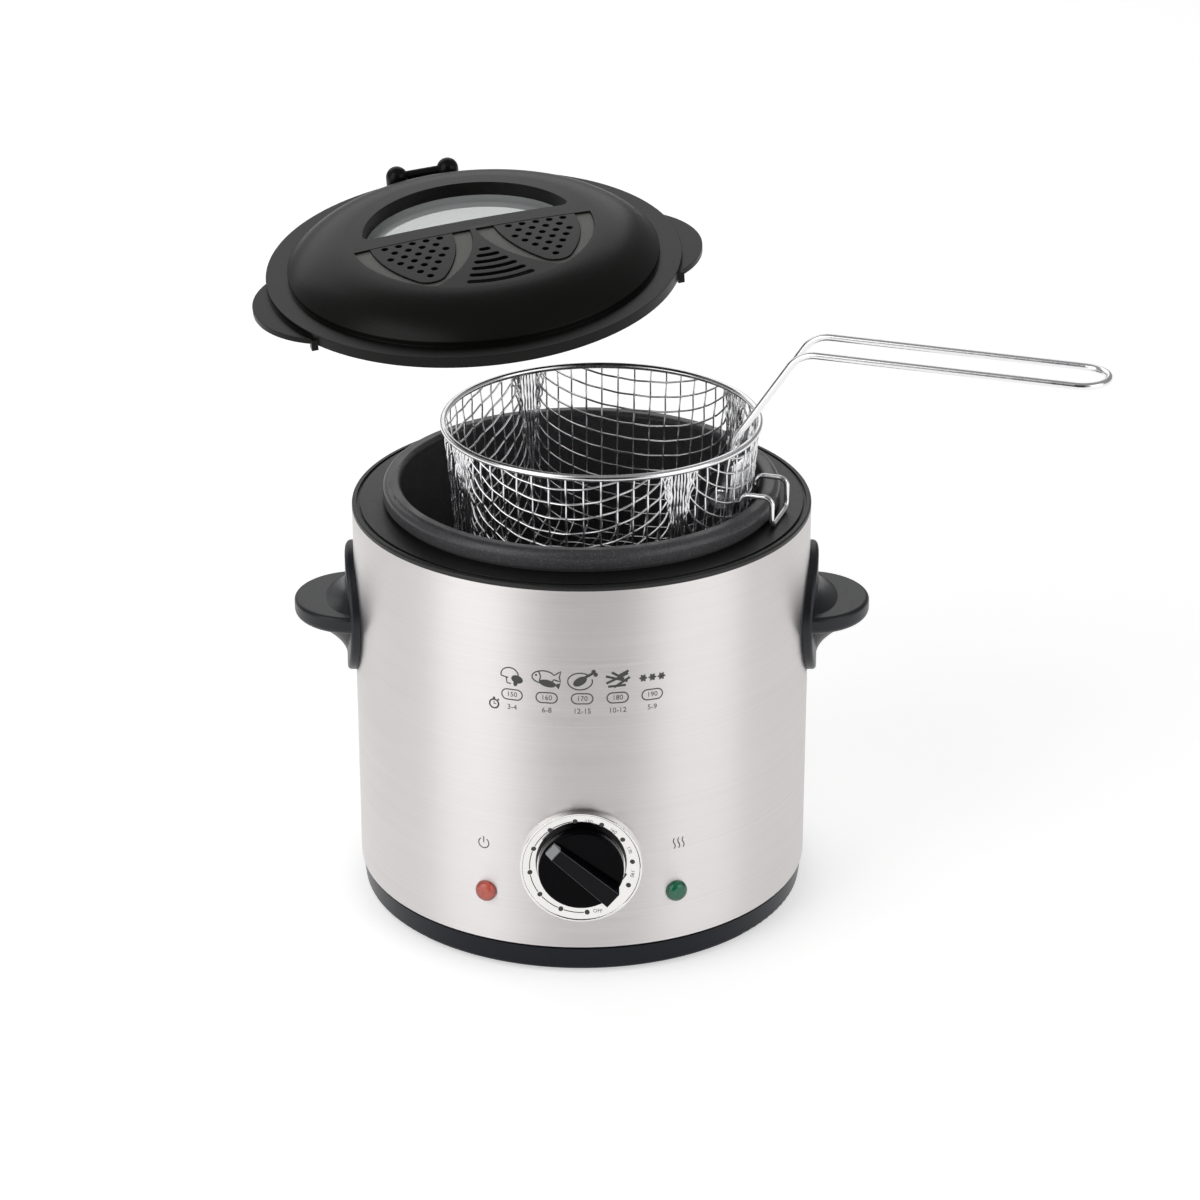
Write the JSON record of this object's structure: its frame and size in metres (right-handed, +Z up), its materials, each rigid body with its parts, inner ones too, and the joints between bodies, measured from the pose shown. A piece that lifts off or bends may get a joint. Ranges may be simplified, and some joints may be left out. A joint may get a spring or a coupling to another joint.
{
  "type": "deep fryer",
  "caption": "Round table-top deep fryer: brushed steel body with a control dial and lamps, black side handles, a wire basket hung on the pot rim and a vented lid held above.",
  "frame": {"origin": "on the worktop, on the axis of the round body, in the plane that the foot ring stands on", "axes": "+Z up, the control dial faces -Y, the basket handle points towards +X and a little to the front"},
  "size_m": [0.3773, 0.255, 0.316],
  "materials": {
    "body_plastic": "moulded black, satin gloss",
    "lid_plastic": "moulded black, satin",
    "vent_plastic": "moulded dark grey, matt",
    "handle_plastic": "moulded blue-black, satin",
    "knob_plastic": "moulded black, polished",
    "pointer_plastic": "light grey inlay",
    "wiring_plastic": "natural white insulation",
    "gland_plastic": "black nylon",
    "foot_rubber": "black rubber",
    "seal_rubber": "dark silicone",
    "sleeve_steel": "stainless steel brushed round the body",
    "fixing_steel": "zinc-plated steel",
    "bright_wire": "chrome-plated steel wire",
    "bezel_chrome": "bright chrome",
    "pot_coating": "aluminium with a charcoal non-stick coat",
    "cast_aluminium": "bare cast aluminium",
    "element_steel": "heat-tinted steel tube",
    "capillary_copper": "copper tube",
    "steatite": "white steatite",
    "red_lens": "translucent red",
    "green_lens": "translucent green",
    "window_glass": "clear tempered glass",
    "filter_felt": "grease filter felt"
  },
  "bodies": {
    "housing": {"base": "body_plastic", "rubber_foot": "foot_rubber", "outer_shell": "sleeve_steel", "top_collar": "body_plastic", "tie_rods": "fixing_steel", "pot": "pot_coating", "pot_seal": "seal_rubber", "heater_plate": "cast_aluminium", "heating_element": "element_steel", "heat_shield": "cast_aluminium", "spacer_tubes": "fixing_steel", "centre_bolt": "fixing_steel", "thermal_cutout": "steatite", "thermostat_bracket": "fixing_steel", "thermostat_body": "steatite", "thermostat_capillary": "capillary_copper", "dial_bezel": "bezel_chrome", "bezel_nuts": "fixing_steel", "red_lamp_lens": "red_lens", "green_lamp_lens": "green_lens", "lamp_holders": "wiring_plastic", "lamp_clips": "fixing_steel", "right_handle": "handle_plastic", "left_handle": "handle_plastic", "handle_screws": "fixing_steel", "cord_gland": "gland_plastic", "gland_nut": "gland_plastic", "terminal_block": "wiring_plastic"},
    "dial": {"dial_knob": "knob_plastic", "knob_pointer": "pointer_plastic", "dial_shaft": "fixing_steel"},
    "lid": {"lid_shell": "lid_plastic", "lid_window": "window_glass", "window_seal": "seal_rubber", "vent_grille_left": "lid_plastic", "vent_grille_right": "lid_plastic", "vent_trim_left": "vent_plastic", "vent_trim_right": "vent_plastic", "lid_filter": "filter_felt", "filter_tray": "lid_plastic", "filter_screws": "fixing_steel"},
    "basket": {"basket_mesh": "bright_wire", "basket_rim": "bright_wire", "basket_bracket": "bright_wire", "drain_hook": "bright_wire"},
    "basket_grip": {"basket_handle": "bright_wire"}
  },
  "joints": [
    {"name": "dial_turn", "type": "hinge", "parent": "housing", "child": "dial", "pos_m": [0, -0.105, 0.0567], "axis": [0, 1, 0], "range_deg": [-136.6, 163.4]},
    {"name": "lid_lift", "type": "slide", "parent": "housing", "child": "lid", "axis": [0, 0, 1], "range_m": [0, 0.1]},
    {"name": "basket_lift", "type": "slide", "parent": "housing", "child": "basket", "axis": [0, 0, 1], "range_m": [0, 0.035]},
    {"name": "handle_fold", "type": "hinge", "parent": "basket", "child": "basket_grip", "pos_m": [0.06657, -0.02163, 0.2049], "axis": [-0.309, -0.9511, 0], "range_deg": [0, 45]}
  ]
}
